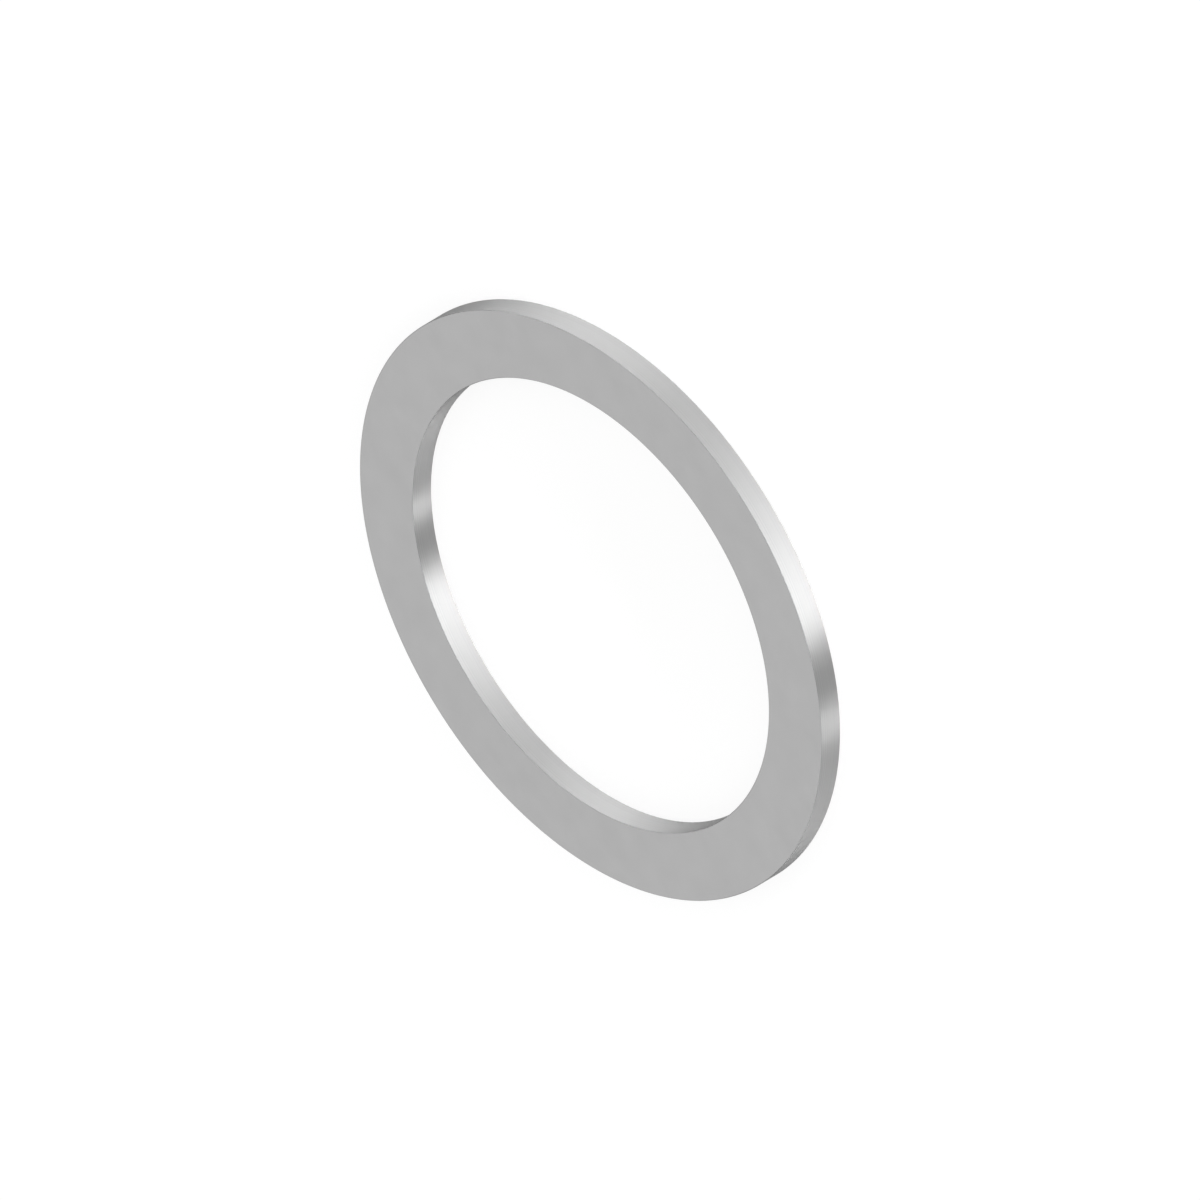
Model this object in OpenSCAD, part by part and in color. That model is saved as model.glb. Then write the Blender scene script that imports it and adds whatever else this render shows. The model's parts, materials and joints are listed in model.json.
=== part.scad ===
// Plain flat washer: a thin ring turned in one piece, of rectangular section, with its four edges just broken.
// It lies flat on its lower face with +Z up, and the origin is the middle of the bore on that face. Millimetres.

/* [Ring] */
// Diameter over the rim
outside_d = 50; // [46:0.5:64]
// Diameter of the bore
bore_d = 38.5; // [30:0.5:42]
// Thickness from face to face
thickness = 2; // [0.8:0.1:4]

/* [Edges] */
// Leg of the 45 degree break on the two edges of the rim
rim_break = 0.05; // [0.02:0.01:0.2]
// Leg of the 45 degree break on the two edges of the bore
bore_break = 0.05; // [0.02:0.01:0.2]

/* [Hidden] */

outside_r = outside_d / 2;
bore_r = bore_d / 2;
steel_grey = "#b0b0b0";

// Facets in a full turn
$fn = 180;

// Half section of the ring, right of the axis: the bore wall, the lower face, the rim and the upper face,
// with a short bevel where each two meet.
module ring_section() {
    polygon([
        [bore_r, bore_break],
        [bore_r + bore_break, 0],
        [outside_r - rim_break, 0],
        [outside_r, rim_break],
        [outside_r, thickness - rim_break],
        [outside_r - rim_break, thickness],
        [bore_r + bore_break, thickness],
        [bore_r, thickness - bore_break]
    ]);
}

// The ring is the half section turned once round the axis.
module washer() {
    color(steel_grey)
        rotate_extrude()
            ring_section();
}

washer();
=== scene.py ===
"""Plain steel flat washer, dressed for its studio picture.

The ring is one section turned round the axis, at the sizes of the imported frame. Its two flat faces are
lapped, and its rim, bore and edges are turned. It lies flat on white paper under a soft sky, and low soft
boxes round the horizon put light and dark bands on the rim.
"""
import json
import logging
import math
from dataclasses import dataclass
from enum import IntEnum
from typing import ClassVar

import bpy
import numpy as np
from mathutils import Matrix, Vector


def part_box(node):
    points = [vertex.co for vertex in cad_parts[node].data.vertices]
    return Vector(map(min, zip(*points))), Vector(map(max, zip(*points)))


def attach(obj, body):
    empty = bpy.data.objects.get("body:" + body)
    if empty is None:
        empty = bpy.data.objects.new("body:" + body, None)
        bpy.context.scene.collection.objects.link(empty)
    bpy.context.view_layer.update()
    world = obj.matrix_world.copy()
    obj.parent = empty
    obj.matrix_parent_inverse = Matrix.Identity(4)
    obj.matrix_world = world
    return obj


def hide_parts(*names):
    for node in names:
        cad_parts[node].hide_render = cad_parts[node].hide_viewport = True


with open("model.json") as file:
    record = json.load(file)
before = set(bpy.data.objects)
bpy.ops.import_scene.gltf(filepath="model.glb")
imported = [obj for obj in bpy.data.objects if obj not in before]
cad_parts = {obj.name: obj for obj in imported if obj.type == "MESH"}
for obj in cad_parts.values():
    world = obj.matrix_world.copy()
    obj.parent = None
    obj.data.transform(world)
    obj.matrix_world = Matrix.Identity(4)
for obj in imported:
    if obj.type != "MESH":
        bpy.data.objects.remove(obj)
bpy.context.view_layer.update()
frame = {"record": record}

LOG = logging.getLogger("washer")

MM = 0.001
WHITE = "#ffffff"

# How bright the steel stays at a grazing angle, where bare steel dips before its last rise to a mirror.
STEEL_EDGE = "#b0b0b0"


class Zone(IntEnum):
    """The two kinds of surface on the ring, by the number of their material slot."""

    FACE = 0
    TURNED = 1


def linear(hex_colour: str) -> tuple[float, float, float, float]:
    """Turns an sRGB hex colour into Blender's linear colour, by the sRGB curve.

    Args:
        hex_colour: six hex digits after a hash mark, such as "#b0b0b0".

    Returns:
        Red, green, blue and an alpha of 1.
    """
    parts = np.array([int(hex_colour[i:i + 2], 16) for i in (1, 3, 5)]) / 255
    curve = np.where(parts <= 0.04045, parts / 12.92, ((parts + 0.055) / 1.055) ** 2.4)
    return (*curve.tolist(), 1.0)


def add_node(
    tree: bpy.types.NodeTree,
    kind: str,
    inputs: dict[str | int, object] | None = None,
    **settings: object,
) -> bpy.types.Node:
    """Adds one node to a tree.

    Args:
        tree: the node tree of a material or the world.
        kind: Blender's name for the type of node.
        inputs: what goes into each socket, by its name or number: another node's output, or a plain value.
        settings: values of the node's own properties, such as its operation.

    Returns:
        The new node.
    """
    node = tree.nodes.new(kind)
    for name, value in settings.items():
        setattr(node, name, value)
    for key, value in (inputs or {}).items():
        if isinstance(value, bpy.types.NodeSocket):
            tree.links.new(value, node.inputs[key])
        else:
            node.inputs[key].default_value = value
    return node


def new_tree(name: str) -> tuple[bpy.types.Material, bpy.types.NodeTree]:
    """Makes an empty node material.

    Args:
        name: the material's name.

    Returns:
        The material and its cleared node tree.
    """
    material = bpy.data.materials.new(name)
    material.use_nodes = True
    material.node_tree.nodes.clear()
    return material, material.node_tree


@dataclass(frozen=True)
class LappedSteel:
    """Plain steel lapped flat with loose grit: an even satin grey with no direction and a haze of scratches.

    Real grit leaves marks about 0.005 mm wide. They are drawn more than ten times coarser, so that they show
    as a faint grain when the picture is enlarged.

    Attributes:
        name: the material's name.
        colour: what the face reflects straight on.
        edge_tint: what it reflects at a grazing angle.
        roughness: how soft its reflections are.
        roughness_spread: how far the grain takes the roughness up and down.
        relief_span: the relief where the face is roughest, and where it is smoothest.
        shade: the darkest and the lightest share of the colour.
        tone_span: the tone where the shade is darkest, and where it is lightest.
        grit_mm: size of the grain.
        grit_detail: how many finer layers the grain has.
        grit_gain: how strong each finer layer is.
        cloud_mm: size of the soft clouds in the shade.
        cloud_detail: how many finer layers the clouds have.
        scratch_width_mm: spacing of the noise across a scratch.
        scratch_length_mm: spacing of the noise along a scratch.
        scratch_angles: which ways the scratches run, in degrees.
        scratch_detail: how many finer layers their noise has.
        scratch_crest: the noise where a scratch begins, and where it is full.
        scratch_tone: how much a scratch adds to the tone.
        bump_mm: height of the relief.
    """

    name: str = "lapped_steel"
    colour: str = "#b4b4b4"
    edge_tint: str = STEEL_EDGE
    roughness: float = 0.15
    roughness_spread: float = 0.015
    relief_span: tuple[float, float] = (-0.3, 0.8)
    shade: tuple[float, float] = (0.97, 1.05)
    tone_span: tuple[float, float] = (0.2, 1.0)
    grit_mm: float = 0.14
    grit_detail: float = 2.0
    grit_gain: float = 0.6
    cloud_mm: float = 2.5
    cloud_detail: float = 3.0
    scratch_width_mm: float = 0.07
    scratch_length_mm: float = 2.4
    scratch_angles: tuple[float, ...] = (17.0, 74.0, 139.0)
    scratch_detail: float = 1.0
    scratch_crest: tuple[float, float] = (0.60, 0.74)
    scratch_tone: float = 0.25
    bump_mm: float = 0.0004

    def material(self) -> bpy.types.Material:
        """Builds the material: grain and scratches shift the roughness, the shade and the surface a little.

        Returns:
            The material, on Object coordinates.
        """
        material, tree = new_tree(self.name)
        place = add_node(tree, "ShaderNodeTexCoord").outputs["Object"]
        grit = add_node(tree, "ShaderNodeTexNoise", {
            "Vector": place, "Scale": 1 / (self.grit_mm * MM),
            "Detail": self.grit_detail, "Roughness": self.grit_gain,
        }).outputs["Fac"]
        cloud = add_node(tree, "ShaderNodeTexNoise", {
            "Vector": place, "Scale": 1 / (self.cloud_mm * MM), "Detail": self.cloud_detail,
        }).outputs["Fac"]
        marks = self.scratches(tree, place)
        relief = add_node(tree, "ShaderNodeMath", {0: grit, 1: marks}, operation="SUBTRACT").outputs[0]
        tone = add_node(tree, "ShaderNodeMath", {
            0: marks, 1: self.scratch_tone, 2: cloud,
        }, operation="MULTIPLY_ADD").outputs[0]
        shade = add_node(tree, "ShaderNodeMapRange", {
            "Value": tone, "From Min": self.tone_span[0], "From Max": self.tone_span[1],
            "To Min": self.shade[0], "To Max": self.shade[1],
        }).outputs[0]
        colour = add_node(tree, "ShaderNodeVectorMath", {
            0: linear(self.colour)[:3], "Scale": shade,
        }, operation="SCALE").outputs[0]
        rough = add_node(tree, "ShaderNodeMapRange", {
            "Value": relief, "From Min": self.relief_span[0], "From Max": self.relief_span[1],
            "To Min": self.roughness + self.roughness_spread,
            "To Max": self.roughness - self.roughness_spread,
        }).outputs[0]
        bump = add_node(tree, "ShaderNodeBump", {
            "Height": relief, "Strength": 1.0, "Distance": self.bump_mm * MM,
        }).outputs[0]
        steel = add_node(tree, "ShaderNodeBsdfPrincipled", {
            "Base Color": colour, "Metallic": 1.0, "Roughness": rough, "Normal": bump,
            "Specular Tint": linear(self.edge_tint),
        }).outputs[0]
        add_node(tree, "ShaderNodeOutputMaterial", {"Surface": steel})
        return material

    def scratches(self, tree: bpy.types.NodeTree, place: bpy.types.NodeSocket) -> bpy.types.NodeSocket:
        """Draws straight scratches at a few angles, each the crest of a noise that is stretched one way.

        Args:
            tree: the material's node tree.
            place: the coordinates to draw on.

        Returns:
            A value that is 1 on a scratch and 0 beside it.
        """
        total = None
        for angle in self.scratch_angles:
            turned = add_node(tree, "ShaderNodeMapping", {
                "Vector": place,
                "Rotation": (0.0, 0.0, math.radians(angle)),
                "Scale": (1 / (self.scratch_length_mm * MM), 1 / (self.scratch_width_mm * MM), 1 / MM),
            }, vector_type="POINT").outputs[0]
            wave = add_node(tree, "ShaderNodeTexNoise", {
                "Vector": turned, "Scale": 1.0, "Detail": self.scratch_detail,
            }).outputs["Fac"]
            line = add_node(tree, "ShaderNodeMapRange", {
                "Value": wave, "From Min": self.scratch_crest[0], "From Max": self.scratch_crest[1],
            }, interpolation_type="SMOOTHSTEP").outputs[0]
            if total is None:
                total = line
            else:
                total = add_node(tree, "ShaderNodeMath", {0: total, 1: line}, operation="MAXIMUM").outputs[0]
        return total


@dataclass(frozen=True)
class TurnedSteel:
    """Plain steel turned on a lathe: fine feed lines run round it, so reflections stretch across them.

    It is a shade darker than the lapped face, because some light is lost between the lines. The feed of a
    finishing cut is about 0.05 mm. The lines are drawn about twice as wide, so that they just show.

    Attributes:
        name: the material's name.
        colour: what the surface reflects straight on.
        edge_tint: what it reflects at a grazing angle.
        roughness: how soft its reflections are.
        roughness_spread: how far the lines take the roughness up and down.
        anisotropy: how far a reflection stretches across the lines.
        shade: the darkest and the lightest share of the colour.
        feed_mm: width of the lines.
        feed_detail: how many finer layers the lines have.
        line_span: the noise in the deepest line, and on the highest ridge.
        bump_mm: height of the lines.
        uv_map: the map whose first part runs along the section, across the lines.
    """

    name: str = "turned_steel"
    colour: str = "#a0a0a0"
    edge_tint: str = STEEL_EDGE
    roughness: float = 0.45
    roughness_spread: float = 0.02
    anisotropy: float = 1.0
    shade: tuple[float, float] = (0.96, 1.04)
    feed_mm: float = 0.11
    feed_detail: float = 2.0
    line_span: tuple[float, float] = (0.25, 0.75)
    bump_mm: float = 0.0006
    uv_map: str = "section_and_turn"

    def material(self) -> bpy.types.Material:
        """Builds the material: its tangent follows the section, so highlights stretch across the lines.

        Returns:
            The material, with its lines on the height of Object coordinates.
        """
        material, tree = new_tree(self.name)
        place = add_node(tree, "ShaderNodeTexCoord").outputs["Object"]
        height = add_node(tree, "ShaderNodeSeparateXYZ", {0: place}).outputs["Z"]
        line = add_node(tree, "ShaderNodeTexNoise", {
            "W": height, "Scale": 1 / (self.feed_mm * MM), "Detail": self.feed_detail,
        }, noise_dimensions="1D").outputs["Fac"]
        shade = add_node(tree, "ShaderNodeMapRange", {
            "Value": line, "From Min": self.line_span[0], "From Max": self.line_span[1],
            "To Min": self.shade[0], "To Max": self.shade[1],
        }).outputs[0]
        colour = add_node(tree, "ShaderNodeVectorMath", {
            0: linear(self.colour)[:3], "Scale": shade,
        }, operation="SCALE").outputs[0]
        rough = add_node(tree, "ShaderNodeMapRange", {
            "Value": line, "From Min": self.line_span[0], "From Max": self.line_span[1],
            "To Min": self.roughness + self.roughness_spread,
            "To Max": self.roughness - self.roughness_spread,
        }).outputs[0]
        bump = add_node(tree, "ShaderNodeBump", {
            "Height": line, "Strength": 1.0, "Distance": self.bump_mm * MM,
        }).outputs[0]
        along = add_node(tree, "ShaderNodeTangent", direction_type="UV_MAP", uv_map=self.uv_map).outputs[0]
        steel = add_node(tree, "ShaderNodeBsdfPrincipled", {
            "Base Color": colour, "Metallic": 1.0, "Roughness": rough, "Normal": bump,
            "Anisotropic": self.anisotropy, "Tangent": along, "Specular Tint": linear(self.edge_tint),
        }).outputs[0]
        add_node(tree, "ShaderNodeOutputMaterial", {"Surface": steel})
        return material


@dataclass(frozen=True)
class WhitePaper:
    """Matt white studio paper: it shows as plain white, and the object's soft shadow dims its lit part.

    Attributes:
        name: the material's name.
        lit_share: the share of the light on it that the matt part gives back.
        glow: the part that is always there, which with the lit part comes to white.
    """

    name: str = "white_paper"
    lit_share: float = 0.2
    glow: float = 0.79

    def material(self) -> bpy.types.Material:
        """Builds the material: a matt part, plus a glow that the camera, reflections and glass see.

        From below it is clear, so that the lower face can be looked at.

        Returns:
            The material.
        """
        material, tree = new_tree(self.name)
        rays = add_node(tree, "ShaderNodeLightPath").outputs
        seen = rays["Is Camera Ray"]
        for kind in ("Is Glossy Ray", "Is Transmission Ray"):
            seen = add_node(tree, "ShaderNodeMath", {0: seen, 1: rays[kind]}, operation="MAXIMUM").outputs[0]
        strength = add_node(tree, "ShaderNodeMath", {0: seen, 1: self.glow}, operation="MULTIPLY").outputs[0]
        glow = add_node(tree, "ShaderNodeEmission", {"Strength": strength}).outputs[0]
        share = self.lit_share
        matt = add_node(tree, "ShaderNodeBsdfDiffuse", {"Color": (share, share, share, 1.0)}).outputs[0]
        paper = add_node(tree, "ShaderNodeAddShader", {0: matt, 1: glow}).outputs[0]
        below = add_node(tree, "ShaderNodeNewGeometry").outputs["Backfacing"]
        clear = add_node(tree, "ShaderNodeBsdfTransparent").outputs[0]
        surface = add_node(tree, "ShaderNodeMixShader", {0: below, 1: paper, 2: clear}).outputs[0]
        add_node(tree, "ShaderNodeOutputMaterial", {"Surface": surface})
        # Reflections find so wide a glow unaided, so all the light samples go to the sky and its boxes.
        material.cycles.emission_sampling = "NONE"
        return material


@dataclass
class Washer:
    """The ring: its sizes in metres, its mesh and its two finishes.

    Attributes:
        outside_r: radius over the rim.
        bore_r: radius of the bore.
        thickness: height from face to face.
        edge_r: radius that the four edges are rounded to.
        turn_steps: facets in a full turn.
        edge_steps: facets round one edge.
        flat_steps: facets across a face, and across the rim or the bore.
        face_finish: finish of the two flat faces.
        turned_finish: finish of the rim, the bore and the edges.
    """

    NODE: ClassVar[str] = "washer"
    PIECE: ClassVar[str] = "washer_ring"
    SLOT: ClassVar[str] = "steel"

    outside_r: float
    bore_r: float
    thickness: float
    edge_r: float = 0.05 * MM
    turn_steps: int = 720
    edge_steps: int = 4
    flat_steps: int = 6
    face_finish: LappedSteel = LappedSteel()
    turned_finish: TurnedSteel = TurnedSteel()

    @classmethod
    def from_frame(cls) -> "Washer":
        """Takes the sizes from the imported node's box and the record's bore.

        Returns:
            The ring at those sizes.
        """
        low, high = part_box(cls.NODE)
        bore = next(mount for mount in frame["record"]["mounts"] if mount["name"] == "bore")
        return cls(outside_r=high.x, bore_r=bore["dims"]["r_mm"] * MM, thickness=high.z - low.z)

    def section(self) -> tuple[np.ndarray, np.ndarray, np.ndarray]:
        """Works out the half section as a closed loop: a rectangle with a quarter round at each corner.

        Each corner is its centre plus the edge radius along the outward normal, which makes a quarter turn
        there. Between two corners the loop runs straight, with the normal held.

        Returns:
            Points (radius, height), their outward normals, and the Zone of the strip from each to the next.
        """
        inner, outer = self.bore_r + self.edge_r, self.outside_r - self.edge_r
        low, high = self.edge_r, self.thickness - self.edge_r
        centres = np.array([[outer, low], [outer, high], [inner, high], [inner, low]])
        quarter = np.linspace(0.0, math.pi / 2, self.edge_steps + 1)
        angles = np.arange(len(centres))[:, None] * math.pi / 2 - math.pi / 2 + quarter
        normals = np.stack([np.cos(angles), np.sin(angles)], axis=-1)
        corners = centres[:, None] + self.edge_r * normals

        share = np.linspace(0.0, 1.0, self.flat_steps + 1)[1:-1, None]
        ends, starts = corners[:, -1:], np.roll(corners, -1, axis=0)[:, :1]
        flats = ends + share * (starts - ends)
        flat_normals = np.repeat(normals[:, -1:], self.flat_steps - 1, axis=1)

        on_edge = np.full((len(centres), self.edge_steps), Zone.TURNED)
        sides = np.array([Zone.TURNED, Zone.FACE, Zone.TURNED, Zone.FACE])
        on_flat = np.repeat(sides[:, None], self.flat_steps, axis=1)
        points = np.concatenate([corners, flats], axis=1).reshape(-1, 2)
        outward = np.concatenate([normals, flat_normals], axis=1).reshape(-1, 2)
        zones = np.concatenate([on_edge, on_flat], axis=1).reshape(-1)
        return points, outward, zones

    def spin(self, profile: np.ndarray) -> np.ndarray:
        """Turns a profile round the axis: radius r goes to (r cos t, r sin t), and the height stays.

        Args:
            profile: pairs (radius, height).

        Returns:
            Triples (x, y, z): all the turns of the first pair, then those of the second, and so on.
        """
        turn = np.arange(self.turn_steps) * 2 * math.pi / self.turn_steps
        around = np.stack([np.cos(turn), np.sin(turn)], axis=-1)
        flat = profile[:, None, :1] * around[None]
        rise = np.broadcast_to(profile[:, None, 1:], (len(profile), self.turn_steps, 1))
        return np.concatenate([flat, rise], axis=-1).reshape(-1, 3)

    def mesh(self) -> bpy.types.Mesh:
        """Turns the section round the axis, and joins each point and turn to the next with a quad.

        The UV map runs along the section in its first part and round the turn in its second.

        Returns:
            The closed mesh, with its normals taken from the formula.
        """
        section, outward, zones = self.section()
        count, turns = len(section), self.turn_steps
        point, turn = np.meshgrid(np.arange(count), np.arange(turns), indexing="ij")
        row, next_row = point * turns, (point + 1) % count * turns
        next_turn = (turn + 1) % turns
        quads = np.stack([row + turn, row + next_turn, next_row + next_turn, next_row + turn], axis=-1)
        steps = np.linalg.norm(np.roll(section, -1, axis=0) - section, axis=1)
        along = np.concatenate([[0.0], np.cumsum(steps)]) / steps.sum()
        u = np.stack([along[point], along[point], along[point + 1], along[point + 1]], axis=-1)
        v = np.stack([turn, turn + 1, turn + 1, turn], axis=-1) / turns

        mesh = bpy.data.meshes.new(self.PIECE)
        mesh.from_pydata(self.spin(section), [], quads.reshape(-1, 4))
        uv_map = mesh.uv_layers.new(name=self.turned_finish.uv_map)
        uv_map.data.foreach_set("uv", np.stack([u, v], axis=-1).ravel())
        mesh.materials.append(self.face_finish.material())
        mesh.materials.append(self.turned_finish.material())
        mesh.polygons.foreach_set("material_index", np.repeat(zones, turns).astype(np.int32))
        mesh.polygons.foreach_set("use_smooth", np.ones(count * turns, dtype=bool))
        mesh.normals_split_custom_set_from_vertices(self.spin(outward))
        mesh.update()
        return mesh

    def build(self) -> bpy.types.Object:
        """Makes the piece, which rides on the part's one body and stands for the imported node.

        Returns:
            The piece.
        """
        piece = bpy.data.objects.new(self.PIECE, self.mesh())
        bpy.context.scene.collection.objects.link(piece)
        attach(piece, "root")
        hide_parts(self.NODE)
        return piece


def fade(
    tree: bpy.types.NodeTree,
    angle: bpy.types.NodeSocket,
    ends: tuple[float, float],
    levels: tuple[float, float],
) -> bpy.types.NodeSocket:
    """Goes smoothly from one level of light to another while an angle goes from one end to the other.

    Args:
        tree: the world's node tree.
        angle: the angle, in radians.
        ends: the angles where the change begins and ends, in degrees.
        levels: the light at those two ends, and beyond them.

    Returns:
        The level of light.
    """
    return add_node(tree, "ShaderNodeMapRange", {
        "Value": angle, "From Min": math.radians(ends[0]), "From Max": math.radians(ends[1]),
        "To Min": levels[0], "To Max": levels[1],
    }, interpolation_type="SMOOTHSTEP").outputs[0]


@dataclass(frozen=True)
class SoftBox:
    """A soft box in the low sky, by its azimuth in degrees: 0 is the camera's side, and + is to its right.

    Attributes:
        start: where its light begins.
        full_from: where it reaches its full level.
        full_to: where it begins to fall.
        end: where it has gone.
        level: its brightness, where 1 is white.
    """

    start: float
    full_from: float
    full_to: float
    end: float
    level: float

    def glow(self, tree: bpy.types.NodeTree, azimuth: bpy.types.NodeSocket) -> bpy.types.NodeSocket:
        """Works out the box's light round the horizon: a rise to its level, times a fall back to none.

        Args:
            tree: the world's node tree.
            azimuth: the azimuth, in radians.

        Returns:
            The level of its light.
        """
        rise = fade(tree, azimuth, (self.start, self.full_from), (0.0, self.level))
        fall = fade(tree, azimuth, (self.full_to, self.end), (1.0, 0.0))
        return add_node(tree, "ShaderNodeMath", {0: rise, 1: fall}, operation="MULTIPLY").outputs[0]


@dataclass
class Studio:
    """White paper, a plain soft sky and low soft boxes. Heights are degrees above the horizon.

    Attributes:
        paper: finish of the floor.
        paper_half: half the side of the floor, in metres.
        paper_drop: how far the floor lies under the ring, in metres.
        sky_level: brightness of the upper sky, where 1 is white.
        horizon_level: brightness of the sky at the horizon.
        sky_from: height where the sky begins to brighten.
        sky_full: height where it reaches its full level.
        box_low: height of the boxes' lower edge.
        box_high: height of their upper edge.
        box_fade: how far their edges fade to either side.
        boxes: the soft boxes: the main one, a wide dimmer one, a narrow strip and a dim one at the side.
    """

    paper: WhitePaper = WhitePaper()
    paper_half: float = 3.0
    paper_drop: float = 0.01 * MM
    sky_level: float = 1.0
    horizon_level: float = 0.1
    sky_from: float = 0.0
    sky_full: float = 22.0
    box_low: float = 3.0
    box_high: float = 7.0
    box_fade: float = 0.7
    boxes: tuple[SoftBox, ...] = (
        SoftBox(-56.0, -39.5, -39.5, 49.0, 80.0),
        SoftBox(-20.5, 77.5, 81.0, 147.5, 37.0),
        SoftBox(-83.5, -82.0, -73.0, -71.5, 41.5),
        SoftBox(-141.0, -125.0, -119.0, -62.0, 14.5),
    )

    def lay_paper(self) -> bpy.types.Object:
        """Lays the paper just under the ring, so that the two don't share a plane.

        Returns:
            The floor.
        """
        side = np.array([-1.0, 1.0]) * self.paper_half
        x, y = np.meshgrid(side, side)
        points = np.stack([x, y, np.full_like(x, -self.paper_drop)], axis=-1).reshape(-1, 3)
        mesh = bpy.data.meshes.new("paper_floor")
        mesh.from_pydata(points, [], [(0, 1, 3, 2)])
        mesh.materials.append(self.paper.material())
        floor = bpy.data.objects.new("paper_floor", mesh)
        bpy.context.scene.collection.objects.link(floor)
        return floor

    def light_sky(self) -> bpy.types.World:
        """Lights the world: a sky that dims towards the horizon, and the soft boxes in a low band round it.

        Below the horizon the world is white to the camera and to reflections, and gives no light. Only views
        from under the paper see it.

        Returns:
            The world.
        """
        world = bpy.data.worlds.new("studio_sky")
        world.use_nodes = True
        tree = world.node_tree
        tree.nodes.clear()
        direction = add_node(tree, "ShaderNodeTexCoord").outputs["Generated"]
        x, y, z = add_node(tree, "ShaderNodeSeparateXYZ", {0: direction}).outputs
        front = add_node(tree, "ShaderNodeMath", {0: y, 1: -1.0}, operation="MULTIPLY").outputs[0]
        azimuth = add_node(tree, "ShaderNodeMath", {0: x, 1: front}, operation="ARCTAN2").outputs[0]
        height = add_node(tree, "ShaderNodeMath", {0: z}, operation="ARCSINE").outputs[0]

        low_edge = (self.box_low - self.box_fade, self.box_low + self.box_fade)
        high_edge = (self.box_high - self.box_fade, self.box_high + self.box_fade)
        band = add_node(tree, "ShaderNodeMath", {
            0: fade(tree, height, low_edge, (0.0, 1.0)),
            1: fade(tree, height, high_edge, (1.0, 0.0)),
        }, operation="MULTIPLY").outputs[0]
        light = fade(tree, height, (self.sky_from, self.sky_full), (self.horizon_level, self.sky_level))
        for box in self.boxes:
            light = add_node(tree, "ShaderNodeMath", {
                0: box.glow(tree, azimuth), 1: band, 2: light,
            }, operation="MULTIPLY_ADD").outputs[0]

        below = add_node(tree, "ShaderNodeMath", {0: z, 1: 0.0}, operation="LESS_THAN").outputs[0]
        rays = add_node(tree, "ShaderNodeLightPath").outputs
        seen = add_node(tree, "ShaderNodeMath", {
            0: rays["Is Camera Ray"], 1: rays["Is Glossy Ray"],
        }, operation="MAXIMUM").outputs[0]
        strength = add_node(tree, "ShaderNodeMix", {0: below, 2: light, 3: seen}).outputs[0]
        sky = add_node(tree, "ShaderNodeBackground", {
            "Color": linear(WHITE), "Strength": strength,
        }).outputs[0]
        add_node(tree, "ShaderNodeOutputWorld", {"Surface": sky})
        bpy.context.scene.world = world
        return world


@dataclass(frozen=True)
class PhotoCamera:
    """The photograph's parallel view of the ring, brought to a ring that lies flat.

    Attributes:
        elevation: degrees that the camera looks down at the face.
        axis_tilt: degrees from level at which the ring's axis runs across the picture.
        photo_side_px: width and height of the photograph.
        rim_radius_px: half the rim's widest measure in it.
        distance: how far the camera stands from the ring, in metres.
    """

    elevation: float = 34.5
    axis_tilt: float = 31.0
    photo_side_px: float = 1200.0
    rim_radius_px: float = 326.4
    distance: float = 0.2

    def place(self, washer: Washer) -> bpy.types.Object:
        """Aims the camera at the ring's middle and rolls it, so that the axis points down to the left.

        Args:
            washer: the ring to frame.

        Returns:
            The camera, set as the scene's own.
        """
        rise = math.radians(self.elevation)
        back = Vector((0.0, -math.cos(rise), math.sin(rise)))
        aim = Vector((0.0, 0.0, washer.thickness / 2))
        turn = back.to_track_quat("Z", "Y").to_matrix().to_4x4()
        roll = Matrix.Rotation(-math.pi / 2 - math.radians(self.axis_tilt), 4, "Z")
        data = bpy.data.cameras.new("photo_camera")
        data.type = "ORTHO"
        data.ortho_scale = self.photo_side_px / self.rim_radius_px * washer.outside_r
        camera = bpy.data.objects.new("photo_camera", data)
        camera.matrix_world = Matrix.Translation(aim + back * self.distance) @ turn @ roll
        bpy.context.scene.collection.objects.link(camera)
        bpy.context.scene.camera = camera
        return camera


def main() -> None:
    """Builds the studio, the washer and the camera in order, and reports each."""
    logging.basicConfig(level=logging.INFO, format="%(message)s")
    bpy.context.scene.view_settings.view_transform = "Standard"
    studio = Studio()
    LOG.info("stage %s", studio.lay_paper().name)
    LOG.info("world %s with %d soft boxes", studio.light_sky().name, len(studio.boxes))
    washer = Washer.from_frame()
    piece = washer.build()
    LOG.info("piece %s with %d faces", piece.name, len(piece.data.polygons))
    LOG.info("camera %s", PhotoCamera().place(washer).name)


if __name__ == "__main__":
    main()
